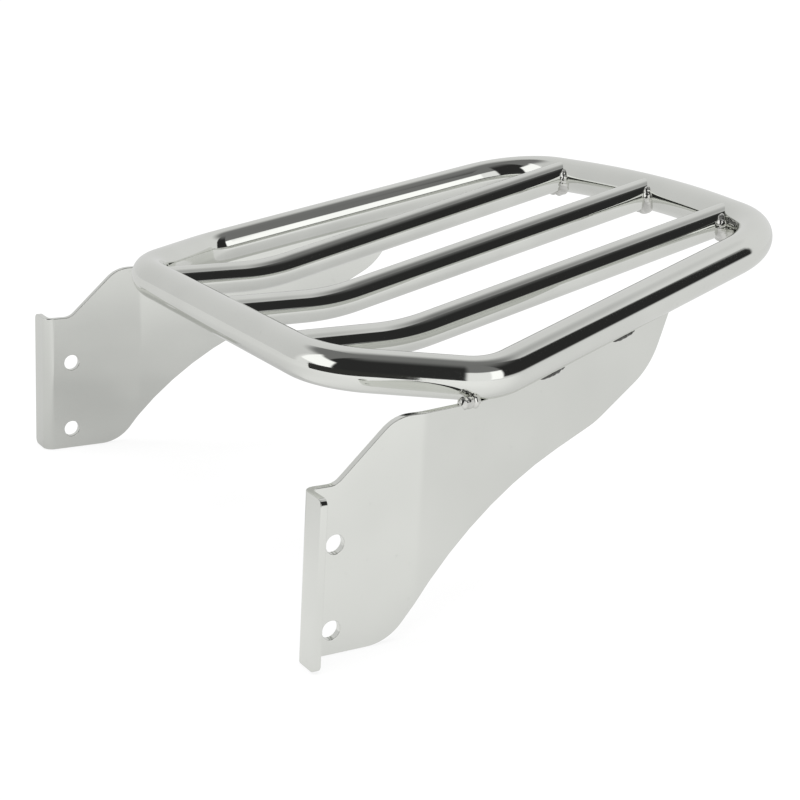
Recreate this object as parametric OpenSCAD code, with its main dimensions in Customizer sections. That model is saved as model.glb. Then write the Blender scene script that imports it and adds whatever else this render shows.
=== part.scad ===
// Motorcycle luggage rack: a bent tube loop, three bent rods and two folded side plates, all welded.
// Millimetres. +Z up, -Y is the front, where the side plates bolt on. Left and right are the rider's,
// so left is +X. The origin is at mid-width, in the middle of the bolt holes. The sizes below count from
// mid-width, the plane of the lips' front faces and the lips' lowest edge.

/* [Outer loop] */
// outside diameter of the loop tube
loop_od = 19; // [17:0.5:21]
// height of the loop's centre line in the level front section
loop_z = 108; // [104:1:116]
// distance back from the lips to the line where the deck turns upward
fold_y = 93; // [88:1:98]
// distance back from the lips to the front cross tube's centre line
front_y = 34.5; // [28:0.5:40]
// how far the loop's centre line at the fold lies inside the side plates' outer faces
loop_inset = 8.8; // [7:0.2:10.4]
// how far each front corner point lies inside the fold, across the rack
front_inset = 42.5; // [38:0.5:48]
// how far each side tube closes in from the fold to the rear corner point
side_close = 32; // [29:0.5:35]
// length of the rising deck from the fold to the rear corner points, along the slope
deck_len = 195; // [180:1:225]
// angle of the rising deck above the level front section
deck_angle = 13.4; // [10:0.2:17]
// how far the rear cross tube bows out behind the rear corner points
rear_bow = 16; // [13:0.5:19]
// bend radius of the tube at the fold, on the centre line
fold_bend_r = 26; // [22:1:30]
// bend radius at the front corners, on the centre line
front_bend_r = 41; // [35:1:48]
// bend radius at the rear corners, on the centre line
rear_bend_r = 44.5; // [38:0.5:48]

/* [Rods] */
// outside diameter of the three rods
rod_od = 16; // [13:0.5:17]
// how far each outer rod lies inside the rear corner points
rod_inset = 38.5; // [35:0.5:42]
// how far the rods' centre lines lie above the loop's
rod_rise = 0.9; // [0.6:0.1:1.1]
// bend radius of the rods where the deck turns upward
rod_bend_r = 120; // [90:5:150]
// distance of the rods' bend behind the loop's fold
rod_fold_back = 0; // [0:1:10]

/* [Side plates] */
// sheet thickness of the side plates
plate_t = 4.8; // [4:0.2:6]
// distance between the mounting faces, from one plate's outer face to the other's
mount_width = 294.6; // [291:0.2:297]
// inside radius of the lip's fold
lip_fold_r = 3.5; // [2.5:0.5:5]
// width of the lip from the plate's inner face to the free edge
lip_w = 17; // [14:0.5:20]
// height of the lip
lip_h = 74.5; // [71:0.5:78]
// corner radius at the free edge of the lip
lip_corner_r = 3; // [1.5:0.5:5]
// radius of the small bend that turns the plate's rear part in under the tapering tube
toe_bend_r = 20; // [12:1:30]
// height of the plate's level shoulder in front of the tube
shoulder_z = 100; // [98:0.5:102]
// how far back from the lip the plate's edge starts to climb to the shoulder
shoulder_start_y = 14.5; // [12:0.5:20]
// how far back the shoulder is reached
shoulder_end_y = 41.5; // [38:0.5:48]
// corner radius where the climbing edge leaves the lip's top
shoulder_low_r = 8; // [4:1:10]
// corner radius where it meets the shoulder
shoulder_high_r = 18; // [10:1:22]
// length of the level bottom edge behind the lip, up to its corner point
foot_len = 43; // [38:0.5:47]
// corner radius at the end of the level bottom edge
foot_r = 22; // [15:1:26]
// rear corner point of the plate, distance back
heel_y = 195.5; // [193:0.5:198]
// rear corner point of the plate, height
heel_z = 99; // [96:0.5:102]
// distance back of the corner point of the long arc over the fender
arch_y = 87; // [83:0.5:91]
// height of the corner point of the long arc over the fender
arch_z = 53; // [50:0.5:56]
// radius of the long arc over the fender
arch_r = 185; // [150:5:195]
// distance back of the corner point between the long arc and the heel
waist_y = 160.5; // [157:0.5:164]
// height of the corner point between the long arc and the heel
waist_z = 78; // [76:0.5:81]
// corner radius between the long arc and the heel
waist_r = 40; // [20:1:60]
// corner radius at the heel
heel_r = 34; // [28:1:38]
// distance back of the plate's rear end, where it meets the tube
tail_y = 206.5; // [204:0.5:209]

/* [Mounting holes] */
// diameter of the bolt holes
hole_d = 8.5; // [6.5:0.1:10.5]
// spacing of the two holes of a plate, one above the other
hole_spacing = 38; // [34:0.5:42]
// distance of the holes back from the lip's front face
hole_y = 15; // [13.5:0.5:19]
// height of the lower hole above the bottom edge
hole_low_z = 11; // [9:0.5:14]

/* [Welds] */
// leg of the weld beads at the rod ends
rod_weld_leg = 3; // [2:0.25:4]
// radius of the stitch welds between plate and tube
stitch_r = 2.2; // [1.5:0.1:3]
// length of each stitch weld
stitch_len = 13.5; // [10:0.5:18]
// distance of the fore stitch welds from the fold, along the side tube
fore_stitch_s = 34; // [28:1:42]
// distance of the aft stitch welds from the fold, along the side tube
aft_stitch_s = 80.5; // [72:0.5:88]
// radius of the weld that closes the front end of each plate's seam
end_weld_r = 4; // [3:0.25:5]
// length of that weld
end_weld_len = 16; // [12:1:18]
// distance of that weld's front end back from the lips
end_weld_y = 70; // [66:1:74]

/* [Hidden] */
round_facets = 24;   // facets round a tube or rod in a mesh of it
$fn = round_facets;

CHROME = [0.78, 0.79, 0.80];
WELD = [0.70, 0.71, 0.72];

mount_x = mount_width / 2;
// half widths of the loop's centre line at the fold, at the front corner points and at the rear ones
fold_half = mount_x - loop_inset;
front_half = fold_half - front_inset;
rear_half = fold_half - side_close;
rod_pitch = rear_half - rod_inset;
loop_r = loop_od / 2;
rod_r = rod_od / 2;
past = 1;            // how far a cutter runs past the face it cuts
bend_swell = 0.02;   // how much thicker in radius a tube is in its bends than in its straight runs
run_lap = 0.8;       // how far a straight run reaches into the bend at each of its ends
bend_step = 11;      // degrees of a bend to one of its facets
bow_step = 1;        // degrees of the wide bow to one of its facets

// a point of the loop's centre line on the rising deck: across, along the slope, above it
function deck(x, s, n = 0) = [x, fold_y + s * cos(deck_angle) - n * sin(deck_angle),
    loop_z + s * sin(deck_angle) + n * cos(deck_angle)];

function unit(v) = v / norm(v);
function dot(a, b) = a[0] * b[0] + a[1] * b[1] + a[2] * b[2];
// the turn between two directions, and how far a bend reaches from its corner point
function turn(a, b) = acos(dot(unit(a), unit(b)));
function reach(a, b, r) = r * tan(turn(a, b) / 2);
// angles of the rotation that carries the axes onto the directions x, y and z
function turned(x, y, z) = abs(x[2]) > 0.9999
    ? [0, -90 * sign(x[2]), atan2(-y[0], y[1])]
    : [atan2(y[2], z[2]), asin(-x[2]), atan2(x[1], x[0])];

// the rear cross tube's bow: its turn at mid-width, the bend radius that leaves a short straight run
// between it and each rear corner, and where its centre line lies along the slope
bow_half_turn = atan2(rear_bow, rear_half);
rear_corner_turn = 90 + atan(side_close / deck_len) - bow_half_turn;
bow_straight = 4;    // length of the straight run between the bow and each rear corner
bow_bend_r = (norm([rear_half, rear_bow]) - rear_bend_r * tan(rear_corner_turn / 2) - bow_straight)
    / tan(bow_half_turn);
bow_apex_s = deck_len + rear_bow - bow_bend_r * (1 / cos(bow_half_turn) - 1);
bow_end_x = bow_bend_r * sin(bow_half_turn);
rear_corner_x = bow_end_x + bow_straight * cos(bow_half_turn);

// how far round an arc of radius r that turns towards the rods has come forward at the distance x along it
function arc_drop(r, x) = r - sqrt(r * r - x * x);
// the loop's centre line where the rods meet it: height along the slope at the rear, distance back at the front
function rear_s(x) = let (ax = abs(x)) ax <= bow_end_x
    ? bow_apex_s - arc_drop(bow_bend_r, ax)
    : bow_apex_s - arc_drop(bow_bend_r, bow_end_x) - (min(ax, rear_corner_x) - bow_end_x) * tan(bow_half_turn)
        - (ax <= rear_corner_x ? 0 : corner_drop(ax - rear_corner_x));
corner_axis_x = rear_corner_x - rear_bend_r * sin(bow_half_turn);
corner_axis_s = rear_s(rear_corner_x) - rear_bend_r * cos(bow_half_turn);
corner_lead = 12;    // degrees by which the round that copes a rod starts before the corner's highest point
corner_sweep = 66;   // degrees of the corner that this round covers
function corner_drop(x) = let (lean = rear_bend_r * sin(bow_half_turn))
    arc_drop(rear_bend_r, x + lean) - arc_drop(rear_bend_r, lean);
front_turn = atan2(fold_y - front_y, fold_half - front_half);
front_corner_x = front_half - front_bend_r * tan(front_turn / 2);
function front_at(x) = front_y + (abs(x) <= front_corner_x ? 0 : arc_drop(front_bend_r, abs(x) - front_corner_x));

loop_points = [[fold_half, fold_y, loop_z], [front_half, front_y, loop_z], [-front_half, front_y, loop_z],
    [-fold_half, fold_y, loop_z], deck(-rear_half, deck_len), deck(0, deck_len + rear_bow), deck(rear_half, deck_len)];
loop_bends = [fold_bend_r, front_bend_r, front_bend_r, fold_bend_r, rear_bend_r, bow_bend_r, rear_bend_r];

// the plate's rear part runs under the tapering side tube, its front part is parallel to the other plate
side_slope = side_close / (deck_len * cos(deck_angle));
toe = atan(side_slope);
tube_lead = plate_t / 2 / cos(toe);
toe_y = fold_y - (loop_inset - tube_lead) / side_slope;
lip_out_r = lip_fold_r + plate_t;
toe_out_r = toe_bend_r + plate_t;
toe_start_y = toe_y - toe_out_r * tan(toe / 2);
toe_steps = 5;       // flats along the toe bend
strip_len = 150;     // length and height of the folded strip before it is cut to the plate's outline
plate_seat = loop_r * 0.75;  // depth below the tube's centre line to which the plate is cut before it is coped
plate_top_z = loop_z - plate_seat / cos(deck_angle);
shoulder_end = 7;    // how far in front of the fold the shoulder ends, under the tube
tail_z = plate_top_z + (tail_y - fold_y) * tan(deck_angle);
end_weld_climb = 1;  // how much higher the rear end of the seam's front weld lies
weld_reach = rod_r + rod_weld_leg + past;  // half the width in which a rod's weld is shaped
rod_stop = 1.5;      // the rods are cut this far off the cross tubes' centre lines before they are coped
fit_up = 0.1;        // clearance between a coped rod end and the tube, closed by the weld

// what is drawn from the lips' lowest front edge, moved so that the middle of the bolt holes is the origin
module placed() {
    translate([0, -hole_y, -hole_low_z - hole_spacing / 2])
        children();
}

module run(a, b, r) {
    d = b - a;
    translate(a)
        rotate([0, acos(d[2] / norm(d)), atan2(d[1], d[0])])
            cylinder(h = norm(d), r = r, $fn = round_facets);
}

// a straight run between two bends, a hair thinner than they are and reaching into them
module bent_in(a, b, r) {
    lap = unit(b - a) * run_lap;
    run(a - lap, b + lap, r);
}

// a bend of centre line radius big_r at the corner point p, between the points before and after it
module bend(before, p, after, big_r, r) {
    u = unit(p - before);
    w = unit(after - p);
    n = unit(w - dot(w, u) * u);
    start = p - u * reach(u, w, big_r);
    translate(start + n * big_r)
        rotate(turned(-n, u, cross(-n, u)))
            rotate_extrude(angle = turn(u, w), $fn = 360 / (big_r > 300 ? bow_step : bend_step))
                translate([big_r, 0])
                    circle(r = r + bend_swell, $fn = round_facets);
}

// the bend at a corner of the loop, and the straight run that follows it
module loop_bend(i, r) {
    k = len(loop_points);
    bend(loop_points[(i + k - 1) % k], loop_points[i % k], loop_points[(i + 1) % k], loop_bends[i % k], r);
}

module loop_run(i, r) {
    k = len(loop_points);
    a = loop_points[(i + k - 1) % k];
    p = loop_points[i % k];
    b = loop_points[(i + 1) % k];
    c = loop_points[(i + 2) % k];
    bent_in(p + unit(b - p) * reach(p - a, b - p, loop_bends[i % k]),
        b - unit(b - p) * reach(b - p, c - b, loop_bends[(i + 1) % k]), r);
}

module loop_solid(r) {
    for (i = [0 : len(loop_points) - 1]) {
        loop_bend(i, r);
        loop_run(i, r);
    }
}

module outer_loop() {
    color(CHROME) placed()
        loop_solid(loop_r);
}

function rod_start(x) = [x, front_y + rod_stop, loop_z + rod_rise];
function rod_corner(x) = [x, fold_y + rod_fold_back, loop_z + rod_rise];
function rod_end(x) = deck(x, rear_s(x) - rod_stop, rod_rise);

module rod_solid(x, r) {
    a = rod_start(x);
    p = rod_corner(x);
    b = rod_end(x);
    t = reach(p - a, b - p, rod_bend_r);
    bent_in(a, p - unit(p - a) * t, r);
    bend(a, p, b, rod_bend_r, r);
    bent_in(p + unit(b - p) * t, b, r);
}

// the stretch of the loop that the left plate carries
module side_stretch(r) {
    loop_run(0, r);
    loop_bend(0, r);
    loop_run(6, r);
}

module rod(x) {
    color(CHROME) placed()
        difference() {
            rod_solid(x, rod_r);
            cope([x - rod_r, front_at(x - rod_r), loop_z], [x + rod_r, front_at(x + rod_r), loop_z]);
            rear_round(x, rod_r, loop_r + fit_up);
        }
}

// what a cross tube that passes through a and b takes off a rod's end
module cope(a, b) {
    beyond = unit(b - a) * loop_r;
    run(a - beyond, b + beyond, loop_r + fit_up);
}

// the rear tube where the rod at x meets it, as one round: a part of its right corner bend, or a straight stretch
module rear_round(x, half, r) {
    a = deck(x - half, rear_s(x - half));
    b = deck(x + half, rear_s(x + half));
    beyond = unit(b - a) * loop_r;
    if (abs(x) + half > rear_corner_x)
        translate(deck(-corner_axis_x, corner_axis_s))
            rotate([deck_angle, 0, 0])
                rotate(90 - corner_lead)
                    rotate_extrude(angle = corner_sweep, $fn = 360 / bend_step)
                        translate([rear_bend_r, 0])
                            circle(r = r, $fn = round_facets);
    else
        run(a - beyond, b + beyond, r);
}

module rod_left() { mirror([1, 0, 0]) rod(-rod_pitch); }
module rod_centre() { rod(0); }
module rod_right() { rod(-rod_pitch); }

// a weld bead under a rod's end, from side to side, shaped by the rod and by the tube that it meets
module weld_rod_front(x) {
    color(WELD) placed()
        difference() {
            intersection() {
                run(rod_start(x), rod_start(x) + [0, 2 * loop_r, 0], rod_r + rod_weld_leg);
                run([x - weld_reach, front_y, loop_z], [x + weld_reach, front_y, loop_z], loop_r + rod_weld_leg);
                translate([x - weld_reach, front_y, loop_z - weld_reach])
                    cube([2 * weld_reach, loop_r + 2 * rod_weld_leg, weld_reach]);
            }
            run(rod_start(x), rod_start(x) + [0, 3 * loop_r, 0], rod_r);
            loop_run(1, loop_r);
            loop_bend(1, loop_r);
            loop_bend(2, loop_r);
        }
}

module weld_rod_rear(x) {
    half = rod_r + rod_weld_leg;
    color(WELD) placed()
        difference() {
            intersection() {
                run(deck(x, rear_s(x) - 2 * loop_r, rod_rise), rod_end(x), half);
                rear_round(x, half, loop_r + rod_weld_leg);
                translate(deck(x, rear_s(x)))
                    rotate([deck_angle, 0, 0])
                        translate([-weld_reach, -loop_r - 2 * rod_weld_leg, -weld_reach])
                            cube([2 * weld_reach, loop_r + 2 * rod_weld_leg, weld_reach]);
            }
            run(deck(x, rear_s(x) - 3 * loop_r, rod_rise), rod_end(x), rod_r);
            rear_round(x, half, loop_r + bend_swell);
        }
}

module weld_rod_front_left() { mirror([1, 0, 0]) weld_rod_front(-rod_pitch); }
module weld_rod_front_centre() { weld_rod_front(0); }
module weld_rod_front_right() { weld_rod_front(-rod_pitch); }
module weld_rod_rear_left() { mirror([1, 0, 0]) weld_rod_rear(-rod_pitch); }
module weld_rod_rear_centre() { weld_rod_rear(0); }
module weld_rod_rear_right() { weld_rod_rear(-rod_pitch); }

// points of a rounded corner in a flat outline: p between a and b, radius r
function rounded(a, p, b, r) =
    let (u = unit(p - a), w = unit(b - p), side = sign(u[0] * w[1] - u[1] * w[0]),
        th = acos(u[0] * w[0] + u[1] * w[1]), start = p - u * r * tan(th / 2),
        n = side * [-u[1], u[0]], k = max(2, ceil(th / 5)))
    [for (i = [0 : k]) start + r * (sin(th * i / k) * u + (1 - cos(th * i / k)) * n)];

// corner points of the plate seen from the side, each with its radius; the last ones lie inside the tube
plate_corners = [[0, 0, 0], [foot_len, 0, foot_r], [arch_y, arch_z, arch_r], [waist_y, waist_z, waist_r],
    [heel_y, heel_z, heel_r], [tail_y, tail_z, 0], [fold_y, plate_top_z, 0], [fold_y - shoulder_end, shoulder_z, 0],
    [shoulder_end_y, shoulder_z, shoulder_high_r], [shoulder_start_y, lip_h, shoulder_low_r], [0, lip_h, 0]];

module plate_outline() {
    k = len(plate_corners);
    polygon([for (i = [0 : k - 1])
        let (c = plate_corners[i], p = [c[0], c[1]],
            a = plate_corners[(i + k - 1) % k], b = plate_corners[(i + 1) % k])
        each (c[2] == 0 ? [p] : rounded([a[0], a[1]], p, [b[0], b[1]], c[2]))]);
}

// the folded strip, left side, taller than the plate: lip, its fold, the mounting part, the toe bend, the rear part
module plate_strip() {
    inner_x = mount_x - plate_t;
    linear_extrude(height = strip_len)
        translate([inner_x + lip_out_r, 0])
            square([lip_w - lip_out_r, plate_t]);
    linear_extrude(height = strip_len)
        translate([inner_x + lip_out_r, lip_out_r])
            intersection() {
                difference() {
                    circle(r = lip_out_r);
                    circle(r = lip_fold_r);
                }
                translate([-lip_out_r, -lip_out_r])
                    square(lip_out_r);
            }
    linear_extrude(height = strip_len)
        polygon([
            [inner_x, lip_out_r],
            each [for (i = [0 : toe_steps]) toe_point(toe_bend_r, i)],
            toe_point(toe_bend_r, toe_steps) + strip_len * [-sin(toe), cos(toe)],
            toe_point(toe_out_r, toe_steps) + strip_len * [-sin(toe), cos(toe)],
            each [for (i = [toe_steps : -1 : 0]) toe_point(toe_out_r, i)],
            [mount_x, lip_out_r]]);
}

// a point of the toe bend, seen from above
function toe_point(r, i) = [mount_x - plate_t - toe_bend_r + r * cos(toe * i / toe_steps),
    toe_start_y + r * sin(toe * i / toe_steps)];

// the folded strip cut to its outline, before the tube's seat and the holes are cut
module plate_body() {
    intersection() {
        plate_strip();
        rotate([90, 0, 90])
            linear_extrude(height = mount_width)
                plate_outline();
    }
}

module side_plate() {
    color(CHROME) placed()
        difference() {
            plate_body();
            side_stretch(loop_r);
            for (z = [hole_low_z, hole_low_z + hole_spacing])
                translate([mount_x - plate_t - past, hole_y, z])
                    rotate([0, 90, 0])
                        cylinder(h = plate_t + 2 * past, d = hole_d);
            lip_corner();
            translate([0, 0, lip_h])
                mirror([0, 0, 1])
                    lip_corner();
        }
}

// what the rounding of the lower corner of the lip's free edge takes away
module lip_corner() {
    x = mount_x - plate_t + lip_w;
    difference() {
        translate([x - lip_corner_r, -past, -past])
            cube([lip_corner_r + past, plate_t + 2 * past, lip_corner_r + past]);
        translate([x - lip_corner_r, -2 * past, lip_corner_r])
            rotate([-90, 0, 0])
                cylinder(h = plate_t + 4 * past, r = lip_corner_r);
    }
}

module side_plate_left() { side_plate(); }
module side_plate_right() { mirror([1, 0, 0]) side_plate(); }

// a point beside the left side tube's centre line on the deck: along it, outward from it and above it
function beside(s, out, up) = deck(fold_half - side_close * s / deck_len + out, s, up);

// a short bead in the corner between the tube's underside and the plate's outer face
module weld_stitch(s) {
    out = plate_t / 2;
    depth = -sqrt(loop_r * loop_r - out * out);
    color(WELD) placed()
        difference() {
            run(beside(s - stitch_len / 2, out, depth), beside(s + stitch_len / 2, out, depth), stitch_r);
            plate_body();
            side_stretch(loop_r);
        }
}

// the bead that closes the seam's front end, on the plate's shoulder and against the tube
module weld_plate_front() {
    start_y = end_weld_y;
    end_y = start_y + end_weld_len;
    mid = mount_x - plate_t / 2;
    color(WELD) placed()
        difference() {
            run([mid - (start_y - toe_y) * side_slope, start_y, shoulder_z],
                [mid - (end_y - toe_y) * side_slope, end_y, shoulder_z + end_weld_climb], end_weld_r);
            plate_body();
            side_stretch(loop_r);
        }
}

module weld_plate_front_left() { weld_plate_front(); }
module weld_plate_front_right() { mirror([1, 0, 0]) weld_plate_front(); }
module weld_stitch_fore_left() { weld_stitch(fore_stitch_s); }
module weld_stitch_fore_right() { mirror([1, 0, 0]) weld_stitch(fore_stitch_s); }
module weld_stitch_aft_left() { weld_stitch(aft_stitch_s); }
module weld_stitch_aft_right() { mirror([1, 0, 0]) weld_stitch(aft_stitch_s); }

outer_loop();
rod_left();
rod_centre();
rod_right();
side_plate_left();
side_plate_right();
weld_rod_front_left();
weld_rod_front_centre();
weld_rod_front_right();
weld_rod_rear_left();
weld_rod_rear_centre();
weld_rod_rear_right();
weld_plate_front_left();
weld_plate_front_right();
weld_stitch_fore_left();
weld_stitch_fore_right();
weld_stitch_aft_left();
weld_stitch_aft_right();
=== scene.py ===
"""Looks of the welded luggage rack: chromed tubes, rods and plates, rippled weld beads, a white studio."""

import logging
import math
from dataclasses import dataclass, field
from enum import Enum
from typing import Callable, Union

import bmesh
import bpy
from mathutils import Matrix, Vector


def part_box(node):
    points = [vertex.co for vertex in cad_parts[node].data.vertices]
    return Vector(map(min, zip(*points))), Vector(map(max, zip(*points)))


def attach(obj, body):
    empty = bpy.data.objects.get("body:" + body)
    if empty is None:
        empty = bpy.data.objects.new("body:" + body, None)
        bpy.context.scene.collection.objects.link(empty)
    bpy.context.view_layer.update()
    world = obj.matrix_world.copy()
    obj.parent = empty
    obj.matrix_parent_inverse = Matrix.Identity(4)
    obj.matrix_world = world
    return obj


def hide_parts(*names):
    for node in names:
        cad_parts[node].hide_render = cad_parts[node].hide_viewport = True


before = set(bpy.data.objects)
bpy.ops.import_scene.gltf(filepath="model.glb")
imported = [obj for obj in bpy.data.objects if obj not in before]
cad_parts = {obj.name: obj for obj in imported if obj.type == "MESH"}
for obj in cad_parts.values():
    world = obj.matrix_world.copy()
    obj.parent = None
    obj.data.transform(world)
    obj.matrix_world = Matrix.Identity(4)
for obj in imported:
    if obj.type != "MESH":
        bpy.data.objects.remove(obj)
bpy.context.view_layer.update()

MM = 0.001
ROOT = "root"
NOISE_MIDDLE = 0.5
DEGREES = math.degrees(1)
log = logging.getLogger("rack")

Number = Union["Wire", float, int]
Corners = list[tuple[Vector, float]]
Colour = tuple[float, float, float, float]


class Side(Enum):
    """The rider's side of the rack that a piece is on, as the sign of its x."""

    LEFT = 1
    RIGHT = -1


class Slot(Enum):
    """The record's material slots."""

    CHROME = "chrome"
    WELD = "weld"


class Wire:
    """A node's output socket that takes part in arithmetic and adds the Math nodes for it."""

    def __init__(self, sheet: "NodeSheet", socket: bpy.types.NodeSocket) -> None:
        """Keeps the socket and the sheet that its tree belongs to."""
        self.sheet = sheet
        self.socket = socket

    def maths(self, operation: str, other: Number = 0.0, first: bool = True) -> "Wire":
        """Adds one Math node.

        Args:
            operation: the Math node's operation.
            other: the second value, where the operation has one.
            first: False puts this socket second, for the reflected forms.

        Returns:
            The node's result.
        """
        pair = (self, other) if first else (other, self)
        return self.sheet.maths(operation, *pair)

    def __add__(self, other: Number) -> "Wire":
        """This plus other."""
        return self.maths("ADD", other)

    __radd__ = __add__

    def __sub__(self, other: Number) -> "Wire":
        """This minus other."""
        return self.maths("SUBTRACT", other)

    def __rsub__(self, other: Number) -> "Wire":
        """Other minus this."""
        return self.maths("SUBTRACT", other, first=False)

    def __mul__(self, other: Number) -> "Wire":
        """This times other."""
        return self.maths("MULTIPLY", other)

    __rmul__ = __mul__

    def __truediv__(self, other: Number) -> "Wire":
        """This divided by other."""
        return self.maths("DIVIDE", other)

    def __rtruediv__(self, other: Number) -> "Wire":
        """Other divided by this."""
        return self.maths("DIVIDE", other, first=False)

    def __pow__(self, other: Number) -> "Wire":
        """This to the power of other."""
        return self.maths("POWER", other)

    def __abs__(self) -> "Wire":
        """The size of this without its sign."""
        return self.maths("ABSOLUTE")

    def step(self, low: float, high: float) -> "Wire":
        """A smooth rise from 0 where this is low to 1 where it is high."""
        node = self.sheet.node(
            "ShaderNodeMapRange",
            {"interpolation_type": "SMOOTHSTEP"},
            {"Value": self, "From Min": low, "From Max": high},
        )
        return self.sheet.wire(node)

    def edge(self, at: float, soft: float) -> "Wire":
        """A smooth rise from 0 to 1 about a place, over a softness on either side of it."""
        return self.step(at - soft, at + soft)

    def swing(self, at: float, size: float) -> "Wire":
        """A slow wave over this angle in degrees: size where the angle is at, and minus size opposite."""
        return ((self - at) * math.radians(1)).maths("COSINE") * size


class NodeSheet:
    """One node tree, with the few helpers that every tree here is built from."""

    def __init__(self, tree: bpy.types.NodeTree) -> None:
        """Starts from an empty tree."""
        self.tree = tree
        tree.nodes.clear()

    def node(self, kind: str, settings: dict | None = None, values: dict | None = None) -> bpy.types.Node:
        """Adds any node.

        Args:
            kind: the node's type name.
            settings: properties of the node, set before its sockets.
            values: input sockets by name or number, each with a value, a Wire or a node's first output.

        Returns:
            The node.
        """
        node = self.tree.nodes.new(kind)
        for name, value in (settings or {}).items():
            setattr(node, name, value)
        for name, value in (values or {}).items():
            socket = self.input(node, name)
            if isinstance(value, Wire):
                self.tree.links.new(value.socket, socket)
            elif isinstance(value, bpy.types.Node):
                self.tree.links.new(value.outputs[0], socket)
            else:
                socket.default_value = value
        return node

    @staticmethod
    def input(node: bpy.types.Node, name: str | int) -> bpy.types.NodeSocket:
        """Finds an input of a node.

        Args:
            node: the node.
            name: the name of an enabled input, or any input's number.

        Returns:
            The input socket.
        """
        if isinstance(name, int):
            return node.inputs[name]
        return next(s for s in node.inputs if s.name == name and s.enabled)

    def wire(self, node: bpy.types.Node, name: str | None = None) -> Wire:
        """An enabled output of a node as a Wire, the first one unless it is named."""
        return Wire(self, next(s for s in node.outputs if s.enabled and name in (None, s.name)))

    def maths(self, operation: str, *values: Number) -> Wire:
        """One Math node on up to three values."""
        return self.wire(self.node("ShaderNodeMath", {"operation": operation}, dict(enumerate(values))))

    def mix(self, factor: Number, low: Colour, high: Colour) -> Wire:
        """A colour between low, at factor 0, and high, at factor 1."""
        node = self.node("ShaderNodeMix", {"data_type": "RGBA"}, {"Factor": factor, "A": low, "B": high})
        return self.wire(node, "Result")

    def grey(self, level: Number) -> Wire:
        """A neutral colour of the given brightness."""
        return self.wire(self.node("ShaderNodeCombineColor", None, {0: level, 1: level, 2: level}))

    def coordinates(self, kind: str) -> Wire:
        """Texture coordinates of the given kind."""
        return self.wire(self.node("ShaderNodeTexCoord"), kind)

    def axes(self, vector: Wire) -> tuple[Wire, Wire, Wire]:
        """The x, y and z of a vector."""
        split = self.node("ShaderNodeSeparateXYZ", None, {0: vector})
        return self.wire(split, "X"), self.wire(split, "Y"), self.wire(split, "Z")

    def azimuth(self, x: Wire, y: Wire) -> Wire:
        """The direction of a place seen from above, in degrees from +X towards +Y."""
        return self.maths("ARCTAN2", y, x) * DEGREES

    def bump(self, height: Wire, distance: float, below: bpy.types.Node | None = None) -> bpy.types.Node:
        """A Bump node.

        Args:
            height: the height pattern.
            distance: how far that pattern rises, in metres.
            below: the Bump node that this one lies on.

        Returns:
            The node.
        """
        values = {"Strength": 1.0, "Distance": distance, "Height": height}
        if below is not None:
            values["Normal"] = below
        return self.node("ShaderNodeBump", None, values)


def blank_material(name: str) -> tuple[bpy.types.Material, NodeSheet]:
    """Makes a material with no nodes yet.

    Args:
        name: the material's name.

    Returns:
        The material and the sheet for its nodes.
    """
    made = bpy.data.materials.new(name)
    made.use_nodes = True
    return made, NodeSheet(made.node_tree)


def mesh_object(name: str, mesh: bpy.types.Mesh) -> bpy.types.Object:
    """Puts a mesh into the scene as an object at the origin.

    Args:
        name: the object's name.
        mesh: its mesh.

    Returns:
        The object.
    """
    made = bpy.data.objects.new(name, mesh)
    bpy.context.scene.collection.objects.link(made)
    return made


def flat_board(name: str, corners: list[Vector], look: bpy.types.Material) -> bpy.types.Object:
    """Makes a flat four-sided board for the studio.

    Args:
        name: the board's name.
        corners: its four corners in order, in metres.
        look: its material.

    Returns:
        The board.
    """
    mesh = bpy.data.meshes.new(name)
    mesh.from_pydata(corners, [], [tuple(range(len(corners)))])
    mesh.materials.append(look)
    return mesh_object(name, mesh)


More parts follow.
